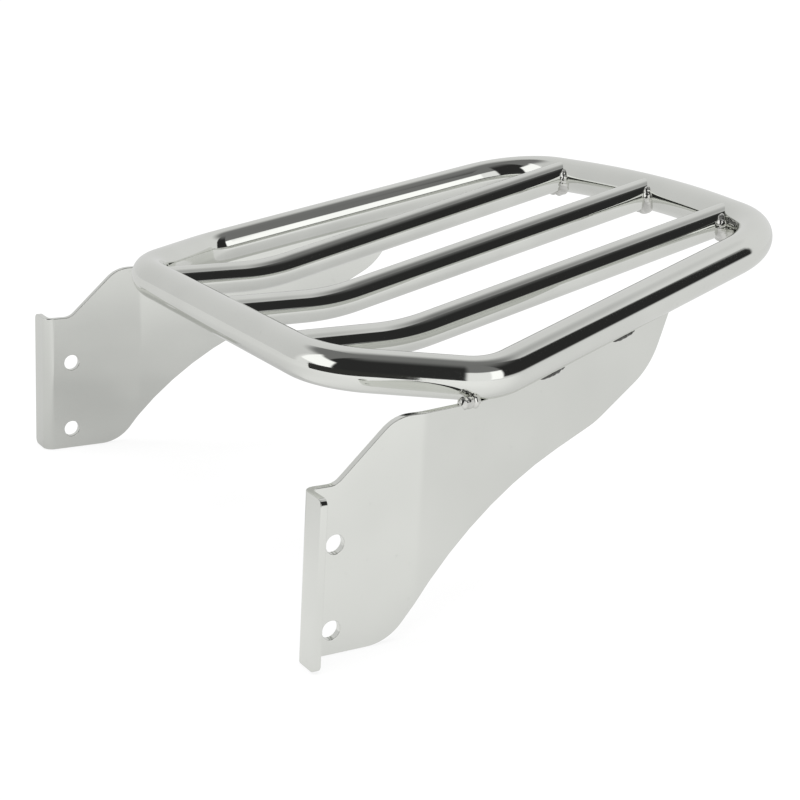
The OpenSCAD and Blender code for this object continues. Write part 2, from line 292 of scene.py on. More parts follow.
@dataclass(frozen=True)
class RackPlan:
    """Sizes shared with the solid model, in millimetres from mid-width, lip front and lip bottom."""

    loop_r: float = 9.5
    loop_z: float = 108.0
    fold_y: float = 93.0
    front_y: float = 34.5
    fold_half: float = 138.5
    front_half: float = 96.0
    rear_half: float = 106.5
    deck_len: float = 195.0
    deck_angle: float = 13.4
    rear_bow: float = 16.0
    fold_bend_r: float = 26.0
    front_bend_r: float = 41.0
    rear_bend_r: float = 44.5
    bow_straight: float = 4.0
    rod_r: float = 8.0
    rod_pitch: float = 68.0
    rod_rise: float = 0.9
    rod_bend_r: float = 120.0
    plate_t: float = 4.8
    sheet_t: float = 3.2
    mount_x: float = 147.3
    lip_end_x: float = 159.5
    lip_fold_r: float = 3.5
    lip_corner_r: float = 3.0
    shoulder_z: float = 100.0
    end_weld_y: float = 75.0
    end_weld_len: float = 11.5
    stitch_len: float = 13.5
    stitch_s: tuple[float, float] = (34.0, 80.5)

    def deck(self, x: float, s: float, n: float = 0.0) -> Vector:
        """A point of the rising deck.

        Args:
            x: distance from mid-width.
            s: distance from the fold along the slope.
            n: height over the slope.

        Returns:
            The point.
        """
        a = math.radians(self.deck_angle)
        y = self.fold_y + s * math.cos(a) - n * math.sin(a)
        z = self.loop_z + s * math.sin(a) + n * math.cos(a)
        return Vector((x, y, z))

    @property
    def rods(self) -> tuple[tuple[str, float], ...]:
        """Each rod's name and its distance from mid-width."""
        return ("left", self.rod_pitch), ("centre", 0.0), ("right", -self.rod_pitch)

    @property
    def bow_turn(self) -> float:
        """Half the turn of the rear cross tube's bow, in radians."""
        return math.atan2(self.rear_bow, self.rear_half)

    @property
    def taper(self) -> float:
        """How much the side tubes close in for each millimetre along the deck."""
        return (self.fold_half - self.rear_half) / self.deck_len

    @property
    def bow_r(self) -> float:
        """Radius of the rear cross tube's bow, which leaves a short straight run before each corner."""
        corner = math.pi / 2 + math.atan(self.taper) - self.bow_turn
        corner_reach = self.rear_bend_r * math.tan(corner / 2)
        room = math.hypot(self.rear_half, self.rear_bow) - corner_reach - self.bow_straight
        return room / math.tan(self.bow_turn)

    def rear_s(self, x: float) -> float:
        """Finds the rear cross tube's centre line.

        Args:
            x: distance from mid-width.

        Returns:
            How far along the slope the centre line lies there.
        """
        bow, turn, r = self.bow_r, self.bow_turn, self.rear_bend_r
        apex = self.deck_len + self.rear_bow - bow * (1 / math.cos(turn) - 1)
        end_x = bow * math.sin(turn)
        corner_x = end_x + self.bow_straight * math.cos(turn)
        ax = abs(x)
        if ax <= end_x:
            return apex - bow + math.sqrt(bow * bow - ax * ax)
        s = apex - bow + bow * math.cos(turn) - (min(ax, corner_x) - end_x) * math.tan(turn)
        if ax > corner_x:
            axis = corner_x - r * math.sin(turn)
            s += math.sqrt(r * r - (ax - axis) ** 2) - r * math.cos(turn)
        return s

    def loop_corners(self) -> Corners:
        """The loop's corner points in order, each with its bend radius."""
        return [
            (Vector((self.fold_half, self.fold_y, self.loop_z)), self.fold_bend_r),
            (Vector((self.front_half, self.front_y, self.loop_z)), self.front_bend_r),
            (Vector((-self.front_half, self.front_y, self.loop_z)), self.front_bend_r),
            (Vector((-self.fold_half, self.fold_y, self.loop_z)), self.fold_bend_r),
            (self.deck(-self.rear_half, self.deck_len), self.rear_bend_r),
            (self.deck(0, self.deck_len + self.rear_bow), self.bow_r),
            (self.deck(self.rear_half, self.deck_len), self.rear_bend_r),
        ]

    def rod_corners(self, x: float) -> Corners:
        """A rod's end points and bend, from the front cross tube's centre line to the rear one's."""
        return [
            (Vector((x, self.front_y, self.loop_z + self.rod_rise)), 0.0),
            (Vector((x, self.fold_y, self.loop_z + self.rod_rise)), self.rod_bend_r),
            (self.deck(x, self.rear_s(x), self.rod_rise), 0.0),
        ]

    def side_x(self, s: float) -> float:
        """Half width of the side tube's centre line at a distance along the deck."""
        return self.fold_half - self.taper * s

    def under_tube(self, y: float) -> float:
        """Half width of the side tube's centre line at a distance back from the lips."""
        return self.fold_half - self.taper / math.cos(math.radians(self.deck_angle)) * (y - self.fold_y)

    def plate_mid(self, y: float) -> float:
        """Half width of a plate's middle surface: upright at the holes, then under the tapering tube."""
        return min(self.mount_x - self.plate_t / 2, self.under_tube(y))


class Placing:
    """Puts points of the plan, in millimetres, into the frame, in metres, and back."""

    def __init__(self) -> None:
        """Reads the plan's origin from the left plate's box."""
        low, _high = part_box("side_plate_left")
        self.origin = Vector((0, low.y, low.z))

    def at(self, point: Vector) -> Vector:
        """The frame's point for a point of the plan."""
        return self.origin + point * MM

    def plan_point(self, point: Vector) -> Vector:
        """The plan's point for a point of the frame."""
        return (point - self.origin) / MM


@dataclass(frozen=True)
class ChromeFinish:
    """Bright nickel-chrome plating over polished steel.

    Attributes:
        tint: colour of the clean plating.
        shade: colour where it is cloudy or specked.
        rough: roughness of the clean plating.
        rough_spread: how much rougher clouds and specks make it.
        wave_size: size of the slow waves left by polishing, and of the clouds with them.
        buff_lines: roughness added by the marks of the buffing wheel.
        cloud_tint, cloud_rough, speck_edge, buff_edge: where each noise starts and ends to count.
        tint_shares, rough_shares: how much clouds and specks count.
    """

    name: str
    tint: Colour = (0.79, 0.80, 0.765, 1)
    shade: Colour = (0.66, 0.67, 0.64, 1)
    rough: float = 0.045
    rough_spread: float = 0.05
    wave_size: float = 26 * MM
    wave_depth: float = 0.012 * MM
    grain_size: float = 1.1 * MM
    grain_depth: float = 0.0006 * MM
    speck_size: float = 3.5 * MM
    cloud_to_wave: float = 1.7
    cloud_tint: tuple[float, float] = (0.3, 0.75)
    cloud_rough: tuple[float, float] = (0.35, 0.8)
    speck_edge: tuple[float, float] = (0.66, 0.78)
    tint_shares: tuple[float, float] = (0.35, 0.25)
    rough_shares: tuple[float, float] = (0.4, 0.5)
    buff_lines: float = 0.0
    buff_size: float = 0.5 * MM
    buff_stretch: tuple[float, float, float] = (0.15, 1.0, 0.15)
    buff_edge: tuple[float, float] = (0.35, 0.7)

    def material(self) -> bpy.types.Material:
        """Builds the plating: slow waves of the metal under it, fine grain, buffing marks and faint specks.

        Returns:
            The material.
        """
        made, sheet = blank_material(self.name)
        place = sheet.coordinates("Object")

        def noise(size: float, detail: float = 2.0, where: Wire = place) -> Wire:
            """Noise whose features are about the given size, in metres."""
            values = {"Vector": where, "Scale": 1 / size, "Detail": detail}
            return sheet.wire(sheet.node("ShaderNodeTexNoise", None, values))

        cloud = noise(self.wave_size * self.cloud_to_wave)
        speck = noise(self.speck_size, detail=3.0).step(*self.speck_edge)
        stretched = sheet.node("ShaderNodeMapping", None, {"Vector": place, "Scale": self.buff_stretch})
        buffing = noise(self.buff_size, where=sheet.wire(stretched))
        cloud_share, speck_share = self.tint_shares
        colour = sheet.mix(
            cloud.step(*self.cloud_tint) * cloud_share + speck * speck_share, self.tint, self.shade
        )
        cloud_share, speck_share = self.rough_shares
        dull = cloud.step(*self.cloud_rough) * cloud_share + speck * speck_share
        rough = self.rough + self.rough_spread * dull + self.buff_lines * buffing.step(*self.buff_edge)
        wave = sheet.bump(noise(self.wave_size, detail=1.0), self.wave_depth)
        grain = sheet.bump(noise(self.grain_size), self.grain_depth, wave)
        metal = sheet.node(
            "ShaderNodeBsdfPrincipled",
            None,
            {"Base Color": colour, "Metallic": 1.0, "Roughness": rough, "Normal": grain},
        )
        sheet.node("ShaderNodeOutputMaterial", None, {"Surface": metal})
        return made


TUBE_CHROME = ChromeFinish("tube_chrome", buff_lines=0.02)
ROD_CHROME = ChromeFinish("rod_chrome", buff_lines=0.02, wave_size=20 * MM)
PLATE_CHROME = ChromeFinish("plate_chrome", rough=0.09, wave_size=34 * MM, wave_depth=0.03 * MM)
WELD_CHROME = ChromeFinish(
    "weld_chrome",
    tint=(0.74, 0.74, 0.71, 1),
    shade=(0.36, 0.36, 0.35, 1),
    rough=0.06,
    rough_spread=0.1,
    wave_size=4 * MM,
    wave_depth=0.05 * MM,
)
# Stitch welds: a near-black colour that is painted shade of the crevice between tube and plate, not the
# weld's own colour.
STITCH_PAINTED_SHADE = ChromeFinish(
    "stitch_painted_shade",
    tint=(0.11, 0.11, 0.105, 1),
    shade=(0.03, 0.03, 0.03, 1),
    rough=0.12,
    rough_spread=0.15,
    wave_size=3 * MM,
    wave_depth=0.05 * MM,
)


def plain_mesh(source: bpy.types.Object, name: str) -> bpy.types.Object:
    """Turns an object with live modifiers into a plain mesh object at the origin.

    Args:
        source: the object to evaluate, which is removed.
        name: the finished piece's name.

    Returns:
        The finished piece.
    """
    graph = bpy.context.evaluated_depsgraph_get()
    live = source.evaluated_get(graph)
    mesh = bpy.data.meshes.new_from_object(live, preserve_all_data_layers=True, depsgraph=graph)
    data = source.data
    bpy.data.objects.remove(source)
    if data.users == 0:
        bpy.data.meshes.remove(data)
    mesh.name = name
    return mesh_object(name, mesh)


def path_object(
    name: str, points: list[Vector], closed: bool = False, numbers: dict[str, list[float]] | None = None
) -> bpy.types.Object:
    """A chain of edges that a Geometry Nodes tree sweeps along.

    Args:
        name: the object's name.
        points: its points in metres.
        closed: whether the last point joins the first.
        numbers: named values, one for each point.

    Returns:
        The object.
    """
    mesh = bpy.data.meshes.new(name)
    count = len(points)
    edges = [(i, (i + 1) % count) for i in range(count if closed else count - 1)]
    mesh.from_pydata([tuple(p) for p in points], edges, [])
    for key, values in (numbers or {}).items():
        layer = mesh.attributes.new(key, "FLOAT", "POINT")
        layer.data.foreach_set("value", values)
    return mesh_object(name, mesh)


class Sweep:
    """A Geometry Nodes tree with named inputs, run on a path."""

    shared_inputs = {
        "Radius": "NodeSocketFloat",
        "Sides": "NodeSocketInt",
        "Ring spacing": "NodeSocketFloat",
        "Material": "NodeSocketMaterial",
    }

    def __init__(self, name: str, inputs: dict[str, str]) -> None:
        """Makes the tree's interface.

        Args:
            name: the tree's name.
            inputs: socket type for each named input beside the shared ones.
        """
        self.tree = bpy.data.node_groups.new(name, "GeometryNodeTree")
        self.sheet = NodeSheet(self.tree)
        face = self.tree.interface
        face.new_socket("Geometry", in_out="INPUT", socket_type="NodeSocketGeometry")
        face.new_socket("Geometry", in_out="OUTPUT", socket_type="NodeSocketGeometry")
        self.identifiers = {
            key: face.new_socket(key, in_out="INPUT", socket_type=kind).identifier
            for key, kind in (self.shared_inputs | inputs).items()
        }
        self.entry = self.sheet.node("NodeGroupInput")

    def given(self, name: str) -> Wire:
        """One of the tree's inputs."""
        return self.sheet.wire(self.entry, name)

    def line(self) -> Wire:
        """The path as a curve."""
        edges = self.given("Geometry")
        return self.sheet.wire(self.sheet.node("GeometryNodeMeshToCurve", None, {"Mesh": edges}))

    def rings(self, curve: Wire) -> Wire:
        """The curve with a point for each ring of the swept surface."""
        values = {"Curve": curve, "Length": self.given("Ring spacing")}
        return self.sheet.wire(self.sheet.node("GeometryNodeResampleCurve", {"mode": "LENGTH"}, values))

    def swept(self, curve: Wire, scale: Number = 1.0) -> Wire:
        """Sweeps the round section along a curve.

        Args:
            curve: the curve to follow.
            scale: the section's size at each point.

        Returns:
            The closed surface.
        """
        section = self.sheet.node(
            "GeometryNodeCurvePrimitiveCircle",
            {"mode": "RADIUS"},
            {"Resolution": self.given("Sides"), "Radius": self.given("Radius")},
        )
        values = {"Curve": curve, "Profile Curve": section, "Scale": scale, "Fill Caps": True}
        return self.sheet.wire(self.sheet.node("GeometryNodeCurveToMesh", None, values))

    def finish(self, surface: Wire) -> None:
        """Ends the tree: smooth shading, real geometry, the material and the output.

        Args:
            surface: the swept surface.
        """
        smooth = self.sheet.node("GeometryNodeSetShadeSmooth", None, {"Geometry": surface})
        real = self.sheet.node("GeometryNodeRealizeInstances", None, {"Geometry": smooth})
        dressed = self.sheet.node(
            "GeometryNodeSetMaterial", None, {"Geometry": real, "Material": self.given("Material")}
        )
        self.sheet.node("NodeGroupOutput", None, {"Geometry": dressed})

    def run(self, path: bpy.types.Object, name: str, values: dict[str, object]) -> bpy.types.Object:
        """Sweeps along a path.

        Args:
            path: the path object, which is used up.
            name: the finished piece's name.
            values: a value for each named input.

        Returns:
            The finished piece as a plain mesh.
        """
        live = path.modifiers.new("sweep", "NODES")
        live.node_group = self.tree
        for key, value in values.items():
            live[self.identifiers[key]] = value
        return plain_mesh(path, name)


class TubeSweep(Sweep):
    """Bends a path's corners to their radii and sweeps a round section along it."""

    bend_radius = "bend_radius"

    def __init__(self) -> None:
        """Builds the tree."""
        super().__init__("bent_tube", {"Bend steps": "NodeSocketInt"})
        sheet = self.sheet
        kind = {"data_type": "FLOAT"}
        named = sheet.node("GeometryNodeInputNamedAttribute", kind, {"Name": self.bend_radius})
        radius = sheet.wire(named, "Attribute")
        bent = sheet.node(
            "GeometryNodeFilletCurve",
            {"mode": "POLY"},
            {"Curve": self.line(), "Count": self.given("Bend steps"), "Radius": radius},
        )
        self.finish(self.swept(self.rings(sheet.wire(bent))))


class BeadSweep(Sweep):
    """Sweeps a weld bead along a path: rounded ends and overlapping ripples left by each puddle."""

    wander_rate = 260.0
    wander_seed_step = 7.3
    lump_seed_step = 3.1

    def __init__(self) -> None:
        """Builds the tree."""
        super().__init__(
            "rippled_bead",
            {
                "Ripple pitch": "NodeSocketFloat",
                "Ripple depth": "NodeSocketFloat",
                "Wander": "NodeSocketFloat",
                "Bluntness": "NodeSocketFloat",
                "Lump size": "NodeSocketFloat",
                "Lump height": "NodeSocketFloat",
                "Seed": "NodeSocketInt",
            },
        )
        sheet = self.sheet
        rings = self.rings(self.line())
        along = sheet.node("GeometryNodeSplineParameter")
        radius = self.profile(sheet.wire(along, "Factor"), sheet.wire(along, "Length"))
        sized = sheet.node("GeometryNodeSetCurveRadius", None, {"Curve": rings, "Radius": radius})
        self.finish(self.lumped(self.swept(sheet.wire(sized), radius)))

    def profile(self, part: Wire, run: Wire) -> Wire:
        """Works out how thick the bead is along its length, as a share of its radius.

        Args:
            part: the share of the bead's length.
            run: the distance along it.

        Returns:
            The thickness there: full but for the rounded ends, the ripples and a slow wander.
        """
        ends = (1.0 - abs(part * 2.0 - 1.0) ** self.given("Bluntness")) ** 0.5
        ripple = abs(self.sheet.maths("SINE", run / self.given("Ripple pitch") * math.pi))
        wander = self.sheet.node(
            "ShaderNodeTexNoise",
            {"noise_dimensions": "1D"},
            {
                "W": run * self.wander_rate + self.given("Seed") * self.wander_seed_step,
                "Scale": 1.0,
                "Detail": 1.0,
            },
        )
        wandering = (self.sheet.wire(wander) - NOISE_MIDDLE) * self.given("Wander")
        depth = self.given("Ripple depth") / self.given("Radius")
        return ends * (1.0 - depth + ripple * depth + wandering)

    def lumped(self, bead: Wire) -> Wire:
        """Moves the bead's surface in and out by noise, so that no two ripples are alike.

        Args:
            bead: the swept bead.

        Returns:
            The uneven bead.
        """
        sheet = self.sheet
        noise = sheet.node(
            "ShaderNodeTexNoise",
            {"noise_dimensions": "4D"},
            {
                "Vector": sheet.node("GeometryNodeInputPosition"),
                "W": self.given("Seed") * self.lump_seed_step,
                "Scale": 1.0 / self.given("Lump size"),
                "Detail": 1.0,
            },
        )
        height = (sheet.wire(noise) - NOISE_MIDDLE) * self.given("Lump height")
        outward = sheet.node(
            "ShaderNodeVectorMath",
            {"operation": "SCALE"},
            {"Vector": sheet.node("GeometryNodeInputNormal"), "Scale": height},
        )
        moved = sheet.node("GeometryNodeSetPosition", None, {"Geometry": bead, "Offset": outward})
        return sheet.wire(moved)


def show(piece: bpy.types.Object, slot: Slot, *nodes: str) -> None:
    """Args:
        piece: the finished piece.
        slot: a material slot; not used.
        nodes: the CAD nodes that it stands for.
    """
    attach(piece, ROOT)
    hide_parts(*nodes)
    piece.data.calc_loop_triangles()
    count = len(piece.data.loop_triangles)
    log.info("%s: %d triangles, stands for %s", piece.name, count, ", ".join(nodes))


@dataclass
class TubeWork:
    """The outer loop and the three rods, each swept along its bent centre line."""

    plan: RackPlan
    placing: Placing
    sides: int = 64
    ring_spacing: float = 2.5 * MM
    bend_steps: int = 48
    sweep: TubeSweep = field(default_factory=TubeSweep)

    def bar(
        self, name: str, corners: Corners, closed: bool, radius: float, look: bpy.types.Material
    ) -> bpy.types.Object:
        """Sweeps one tube or rod.

        Args:
            name: the finished piece's name.
            corners: corner points and bend radii, in millimetres.
            closed: whether the bar is a ring.
            radius: the section's radius in millimetres.
            look: its material.

        Returns:
            The finished piece.
        """
        points = [self.placing.at(p) for p, _r in corners]
        bends = {self.sweep.bend_radius: [r * MM for _p, r in corners]}
        values = {
            "Radius": radius * MM,
            "Sides": self.sides,
            "Ring spacing": self.ring_spacing,
            "Bend steps": self.bend_steps,
            "Material": look,
        }
        return self.sweep.run(path_object(name + "_path", points, closed, bends), name, values)

    def build(self) -> None:
        """Makes and dresses the loop and the rods."""
        plan = self.plan
        loop = self.bar("loop_tube", plan.loop_corners(), True, plan.loop_r, TUBE_CHROME.material())
        show(loop, Slot.CHROME, "outer_loop")
        rod_look = ROD_CHROME.material()
        for name, x in plan.rods:
            rod = self.bar("bent_rod_" + name, plan.rod_corners(x), False, plan.rod_r, rod_look)
            show(rod, Slot.CHROME, "rod_" + name)


@dataclass
class SidePlates:
    """The folded side plates, as thin as the photograph shows them, with their edges broken before plating.

    Attributes:
        merge_gap: corners of loose triangles that are closer than this are one.
        flat_deg: faces that turn less than this are one.
        sharp_deg: edges that turn more than this are broken, unless they lie on the tube's seat.
        seat_clear: how far from the tube a point still counts as seated, in millimetres.
        fold_r: inside radius of the lip's fold in the thin sheet, in millimetres.
        touch: how exactly points lie on the fold's ends, in millimetres.
        face_weight: how much a face's area counts in the shading of its corners, per cent.
    """

    plan: RackPlan
    placing: Placing
    edge_r: float = 0.55 * MM
    edge_segments: int = 3
    merge_gap: float = 0.002 * MM
    flat_deg: float = 0.4
    sharp_deg: float = 25.0
    seat_clear: float = 0.25
    fold_r: float = 2.0
    touch: float = 0.01
    face_weight: int = 100

    def near_tube(self, point: Vector, side: Side) -> bool:
        """Whether a point of a plate lies on the seat that is coped to the loop tube.

        Args:
            point: the point in the frame, in metres.
            side: which plate.

        Returns:
            True where it does.
        """
        fold, front, *_others, rear = (corner for corner, _r in self.plan.loop_corners())
        place = self.placing.plan_point(point)
        place.x *= side.value
        for end in (front, rear):
            way = (end - fold).normalized()
            offset = place - fold
            gap = (offset - way * max(0.0, offset.dot(way))).length
            if gap < self.plan.loop_r + self.seat_clear:
                return True
        return False

    def thinned(self, point: Vector, side: Side) -> Vector:
        """Where a point of the solid plate comes to lie in the thinner sheet that the photograph shows.

        Args:
            point: the point in the frame, in metres.
            side: which plate.

        Returns:
            The point on the thinner sheet, whose lip keeps its front face and its free edge.
        """
        plan = self.plan
        share = plan.sheet_t / plan.plate_t
        place = self.placing.plan_point(point)
        x, y = place.x * side.value, place.y
        middle = plan.mount_x - plan.plate_t / 2
        old_r, new_r = plan.lip_fold_r + plan.plate_t, self.fold_r + plan.sheet_t
        old_x, new_x = middle - plan.plate_t / 2 + old_r, middle - plan.sheet_t / 2 + new_r
        if x > old_x + self.touch:
            corner_x = plan.lip_end_x - plan.lip_corner_r
            x += (new_x - old_x) * max(0.0, (corner_x - x) / (corner_x - old_x))
            y *= share
        elif y < old_r + self.touch:
            out = Vector((x - old_x, y - old_r))
            out *= (self.fold_r + (out.length - plan.lip_fold_r) * share) / out.length
            x, y = new_x + out.x, new_r + out.y
        else:
            centre = plan.plate_mid(y)
            x = centre + (x - centre) * share
        return self.placing.at(Vector((x * side.value, y, place.z)))

    def blank(self, node: str, side: Side) -> bpy.types.Mesh:
        """Makes one plate's thin mesh, with the edges marked that are to be broken.

        Args:
            node: the plate's CAD node.
            side: which plate.

        Returns:
            The mesh.
        """
        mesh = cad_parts[node].data.copy()
        shape = bmesh.new()
        shape.from_mesh(mesh)
        bmesh.ops.remove_doubles(shape, verts=shape.verts, dist=self.merge_gap)
        flat = math.radians(self.flat_deg)
        bmesh.ops.dissolve_limit(
            shape, angle_limit=flat, verts=shape.verts, edges=shape.edges, delimit={"NORMAL"}
        )
        weight = shape.edges.layers.float.new("bevel_weight_edge")
        for edge in shape.edges:
            sharp = len(edge.link_faces) == 2 and edge.calc_face_angle(0) > math.radians(self.sharp_deg)
            seated = all(self.near_tube(v.co, side) for v in edge.verts)
            edge[weight] = 1.0 if sharp and not seated else 0.0
            edge.smooth = True
        for face in shape.faces:
            face.smooth = True
        for vert in shape.verts:
            vert.co = self.thinned(vert.co, side)
        shape.to_mesh(mesh)
        shape.free()
        mesh.materials.clear()
        return mesh

    def build(self) -> None:
        """Makes and dresses both plates."""
        look = PLATE_CHROME.material()
        for side in Side:
            hand = side.name.lower()
            mesh = self.blank("side_plate_" + hand, side)
            mesh.materials.append(look)
            plate = mesh_object(f"side_plate_{hand}_blank", mesh)
            bevel = plate.modifiers.new("broken_edge", "BEVEL")
            bevel.limit_method = "WEIGHT"
            bevel.width = self.edge_r
            bevel.segments = self.edge_segments
            level = plate.modifiers.new("flat_faces", "WEIGHTED_NORMAL")
            level.keep_sharp = True
            level.weight = self.face_weight
            show(plain_mesh(plate, "folded_plate_" + hand), Slot.CHROME, "side_plate_" + hand)


@dataclass(frozen=True)
class BeadKind:
    """What the beads of one kind share: radius in millimetres, bluntness of the ends and first seed."""

    radius: float
    bluntness: float
    seed: int


@dataclass
class WeldWork:
    """The weld beads, each swept along the seam that it closes, in millimetres and degrees."""

    plan: RackPlan
    placing: Placing
    rod_front: BeadKind = BeadKind(radius=2.9, bluntness=4.0, seed=0)
    rod_rear: BeadKind = BeadKind(radius=3.2, bluntness=4.0, seed=3)
    shoulder: BeadKind = BeadKind(radius=3.0, bluntness=4.0, seed=6)
    stitch: BeadKind = BeadKind(radius=2.0, bluntness=2.0, seed=10)
    stitch_run: float = 2.5
    pitch: float = 3.4
    depth: float = 0.22
    wander: float = 0.3
    lump_size: float = 2.2
    lump_share: float = 0.4
    sides: int = 28
    ring_spacing: float = 0.16
    front_arc: tuple[float, float] = (68.0, 292.0)
    rear_arc: tuple[float, float] = (48.0, 312.0)
    arc_points: int = 40
    sweep: BeadSweep = field(default_factory=BeadSweep)

    def bead(
        self, name: str, points: list[Vector], kind: BeadKind, number: int, look: bpy.types.Material
    ) -> None:
        """Lays one bead and hands it over.

        Args:
            name: the node that it stands for, without weld_.
            points: its path in millimetres.
            kind: which kind of bead it is.
            number: what it adds to the kind's first seed.
            look: its material.
        """
        values = {
            "Radius": kind.radius * MM,
            "Sides": self.sides,
            "Ring spacing": self.ring_spacing * MM,
            "Ripple pitch": self.pitch * MM,
            "Ripple depth": self.depth * MM,
            "Wander": self.wander,
            "Bluntness": kind.bluntness,
            "Lump size": self.lump_size * MM,
            "Lump height": self.lump_share * MM * kind.radius,
            "Seed": kind.seed + number,
            "Material": look,
        }
        path = path_object(name + "_path", [self.placing.at(p) for p in points])
        show(self.sweep.run(path, "bead_" + name, values), Slot.WELD, "weld_" + name)

    def around_rod(
        self, point: Callable[[float, float], Vector], x: float, arc: tuple[float, float]
    ) -> list[Vector]:
        """The seam round the lower side of a rod's end.

        Args:
            point: gives the seam's point at a distance across and a height over the tube's centre line.
            x: the rod's distance from mid-width.
            arc: where the seam starts and ends round the rod, in degrees from its top.

        Returns:
            The seam's points.
        """
        start, end = (math.radians(a) for a in arc)
        r, rise = self.plan.rod_r, self.plan.rod_rise
        turns = [start + (end - start) * i / self.arc_points for i in range(self.arc_points + 1)]
        return [point(x + r * math.sin(a), rise + r * math.cos(a)) for a in turns]

    def front_seam(self, x: float, height: float) -> Vector:
        """A point where a rod meets the front cross tube."""
        plan = self.plan
        return Vector((x, plan.front_y + math.sqrt(plan.loop_r**2 - height**2), plan.loop_z + height))

    def rear_seam(self, x: float, height: float) -> Vector:
        """A point where a rod meets the rear cross tube."""
        plan = self.plan
        return plan.deck(x, plan.rear_s(x) - math.sqrt(plan.loop_r**2 - height**2), height)

    def stitch_seam(self, s: float, side: Side) -> list[Vector]:
        """A short straight seam in the corner between a side tube's underside and its plate's outer face.

        Args:
            s: distance of its middle from the fold, along the tube.
            side: which plate.

        Returns:
            The seam's ends.
        """
        plan = self.plan
        out = plan.sheet_t / 2
        low = -math.sqrt(plan.loop_r**2 - out**2)
        half = plan.stitch_len / 2 + self.stitch_run / 2
        return [plan.deck(side.value * (plan.side_x(at) + out), at, low) for at in (s - half, s + half)]

    def shoulder_seam(self, side: Side) -> list[Vector]:
        """The seam along the plate's shoulder, where the tube leaves the plate.

        Args:
            side: which plate.

        Returns:
            The seam's ends.
        """
        plan = self.plan
        ends = (plan.end_weld_y, plan.end_weld_y + plan.end_weld_len)
        return [Vector((side.value * plan.under_tube(y), y, plan.shoulder_z)) for y in ends]

    def build(self) -> None:
        """Lays and dresses every bead."""
        # dark: the stitch beads' finish, whose colour is painted shade.
        look, dark = WELD_CHROME.material(), STITCH_PAINTED_SHADE.material()
        for number, (name, x) in enumerate(self.plan.rods):
            front = self.around_rod(self.front_seam, x, self.front_arc)
            rear = self.around_rod(self.rear_seam, x, self.rear_arc)
            self.bead("rod_front_" + name, front, self.rod_front, number, look)
            self.bead("rod_rear_" + name, rear, self.rod_rear, number, look)
        for side in Side:
            hand, sign = side.name.lower(), side.value
            self.bead("plate_front_" + hand, self.shoulder_seam(side), self.shoulder, sign, look)
            for row, (place, s) in enumerate(zip(("fore", "aft"), self.plan.stitch_s)):
                seam = self.stitch_seam(s, side)
                self.bead(f"stitch_{place}_{hand}", seam, self.stitch, 2 * row + sign, dark)


@dataclass(frozen=True)
class ViewPoint:
    """Where the photograph was taken from: angles in degrees, distance in metres, aim in millimetres."""

    azimuth: float = 56.93
    elevation: float = 16.77
    roll: float = 3.295
    distance: float = 0.8236
    aim: tuple[float, float, float] = (7.7, 132.6, 57.2)
    lens: float = 72.61
    sensor: float = 36.0
    clip: tuple[float, float] = (0.01, 60.0)

    def build(self, placing: Placing) -> None:
        """Makes the camera and gives it to the scene.

        Args:
            placing: puts the aim into the frame.
        """
        a, e, r = (math.radians(v) for v in (self.azimuth, self.elevation, self.roll))
        back = Vector((math.sin(a) * math.cos(e), -math.cos(a) * math.cos(e), math.sin(e)))
        right = Vector((math.cos(a), math.sin(a), 0.0))
        up = back.cross(right)
        across = right * math.cos(r) + up * math.sin(r)
        above = up * math.cos(r) - right * math.sin(r)
        data = bpy.data.cameras.new("camera")
        data.lens = self.lens
        data.sensor_width = self.sensor
        data.clip_start, data.clip_end = self.clip
        camera = bpy.data.objects.new("camera", data)
        bpy.context.scene.collection.objects.link(camera)
        turn = Matrix((across, above, back)).transposed().to_4x4()
        camera.matrix_world = Matrix.Translation(placing.at(Vector(self.aim)) + back * self.distance) @ turn
        bpy.context.scene.camera = camera


@dataclass(frozen=True)
class Panel:
    """A lit or dark part of the surround: a soft-edged window in azimuth and elevation, in degrees."""

    level: float
    sides: tuple[float, float]
    low: float
    high: float
    side_soft: float = 2.0
    low_soft: float = 2.0
    high_soft: float = 3.0
    lean: float = 0.0

    def over(self, value: Wire, azimuth: Wire, elevation: Wire) -> Wire:
        """Lays the panel over what is behind it.

        Args:
            value: brightness behind the panel.
            azimuth: direction round the object, from +X towards +Y.
            elevation: direction above the horizon.

        Returns:
            The brightness with the panel in place.
        """
        left, right = self.sides
        height = elevation + (azimuth - (left + right) / 2) * self.lean
        inside = azimuth.edge(left, self.side_soft) * (1.0 - azimuth.edge(right, self.side_soft))
        inside = inside * height.edge(self.low, self.low_soft)
        inside = inside * (1.0 - height.edge(self.high, self.high_soft))
        return value + (self.level - value) * inside


